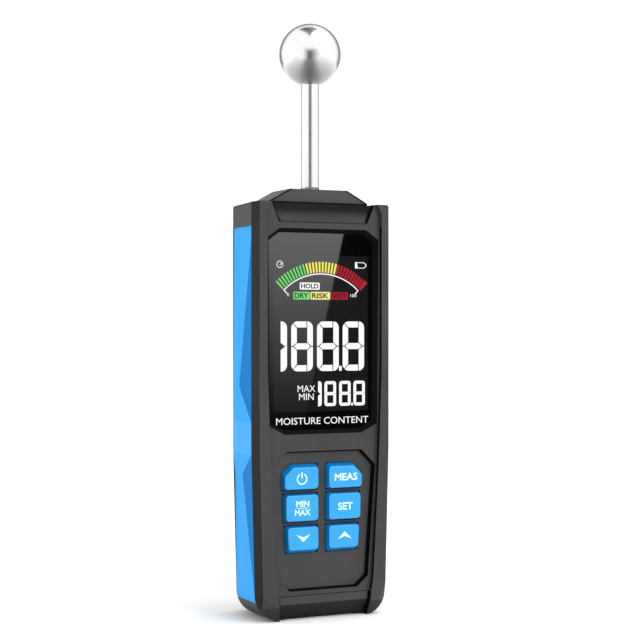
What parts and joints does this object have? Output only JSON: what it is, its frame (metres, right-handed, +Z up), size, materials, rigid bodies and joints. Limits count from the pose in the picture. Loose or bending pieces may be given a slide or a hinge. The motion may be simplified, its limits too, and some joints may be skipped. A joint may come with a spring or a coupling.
{
  "type": "moisture meter",
  "caption": "Hand-held pinless moisture meter with a ball sensor on a rod, a display behind a flat window, a keypad and coloured side grips.",
  "frame": {"origin": "under the middle of the housing, on the surface it stands on", "axes": "+Z up along the sensor rod, +Y from the display towards the back, +X to the reader's right"},
  "size_m": [0.0486, 0.027, 0.1934],
  "materials": {
    "battery_cells": "plain sleeve",
    "battery_contact_plates": "plain",
    "battery_door": "fine matt texture",
    "battery_springs": "plain",
    "board_components": "plain",
    "board_screws": "plain",
    "display_lens": "polished, dark",
    "front_housing": "fine matt texture",
    "housing_screws": "blackened",
    "key_down": "satin",
    "key_down_pill": "carbon",
    "key_measure": "satin",
    "key_measure_pill": "carbon",
    "key_min_max": "satin",
    "key_min_max_pill": "carbon",
    "key_power": "satin",
    "key_power_pill": "carbon",
    "key_set": "satin",
    "key_set_pill": "carbon",
    "key_up": "satin",
    "key_up_pill": "carbon",
    "keypad_mat": "plain",
    "keypad_panel": "satin",
    "lcd_backlight": "satin white",
    "lcd_connector_strip": "plain",
    "lcd_glass": "polished, dark",
    "lcd_holder": "plain white",
    "left_side_grip": "satin",
    "lens_gasket": "foam",
    "main_board": "solder mask",
    "probe_hood": "fine matt texture",
    "probe_rod": "polished",
    "processor_chip": "plain",
    "rear_housing": "fine matt texture",
    "right_side_grip": "satin",
    "rod_bush": "plain",
    "rod_nut": "plain",
    "rod_washer": "plain",
    "sensor_ball": "polished",
    "sensor_contact": "plain"
  },
  "bodies": {
    "housing": {"battery_cells": "battery_cells", "battery_contact_plates": "battery_contact_plates", "battery_springs": "battery_springs", "board_components": "board_components", "board_screws": "board_screws", "display_lens": "display_lens", "front_housing": "front_housing", "housing_screws": "housing_screws", "keypad_mat": "keypad_mat", "keypad_panel": "keypad_panel", "lcd_backlight": "lcd_backlight", "lcd_connector_strip": "lcd_connector_strip", "lcd_glass": "lcd_glass", "lcd_holder": "lcd_holder", "left_side_grip": "left_side_grip", "lens_gasket": "lens_gasket", "main_board": "main_board", "probe_hood": "probe_hood", "probe_rod": "probe_rod", "processor_chip": "processor_chip", "rear_housing": "rear_housing", "right_side_grip": "right_side_grip", "rod_bush": "rod_bush", "rod_nut": "rod_nut", "rod_washer": "rod_washer", "sensor_ball": "sensor_ball", "sensor_contact": "sensor_contact"},
    "key_power": {"key_power": "key_power", "key_power_pill": "key_power_pill"},
    "key_measure": {"key_measure": "key_measure", "key_measure_pill": "key_measure_pill"},
    "key_min_max": {"key_min_max": "key_min_max", "key_min_max_pill": "key_min_max_pill"},
    "key_set": {"key_set": "key_set", "key_set_pill": "key_set_pill"},
    "key_down": {"key_down": "key_down", "key_down_pill": "key_down_pill"},
    "key_up": {"key_up": "key_up", "key_up_pill": "key_up_pill"},
    "battery_door": {"battery_door": "battery_door"}
  },
  "joints": [
    {"name": "power_press", "type": "slide", "parent": "housing", "child": "key_power", "axis": [0, 1, 0], "range_m": [0, 0.0009], "stiffness_N_per_m": 1500},
    {"name": "measure_press", "type": "slide", "parent": "housing", "child": "key_measure", "axis": [0, 1, 0], "range_m": [0, 0.0009], "stiffness_N_per_m": 1500},
    {"name": "min_max_press", "type": "slide", "parent": "housing", "child": "key_min_max", "axis": [0, 1, 0], "range_m": [0, 0.0009], "stiffness_N_per_m": 1500},
    {"name": "set_press", "type": "slide", "parent": "housing", "child": "key_set", "axis": [0, 1, 0], "range_m": [0, 0.0009], "stiffness_N_per_m": 1500},
    {"name": "down_press", "type": "slide", "parent": "housing", "child": "key_down", "axis": [0, 1, 0], "range_m": [0, 0.0009], "stiffness_N_per_m": 1500},
    {"name": "up_press", "type": "slide", "parent": "housing", "child": "key_up", "axis": [0, 1, 0], "range_m": [0, 0.0009], "stiffness_N_per_m": 1500},
    {"name": "door_hinge", "type": "hinge", "parent": "housing", "child": "battery_door", "pos_m": [0, 0.0126, 0.01515], "axis": [-1, 0, 0], "range_deg": [0, 75]}
  ]
}
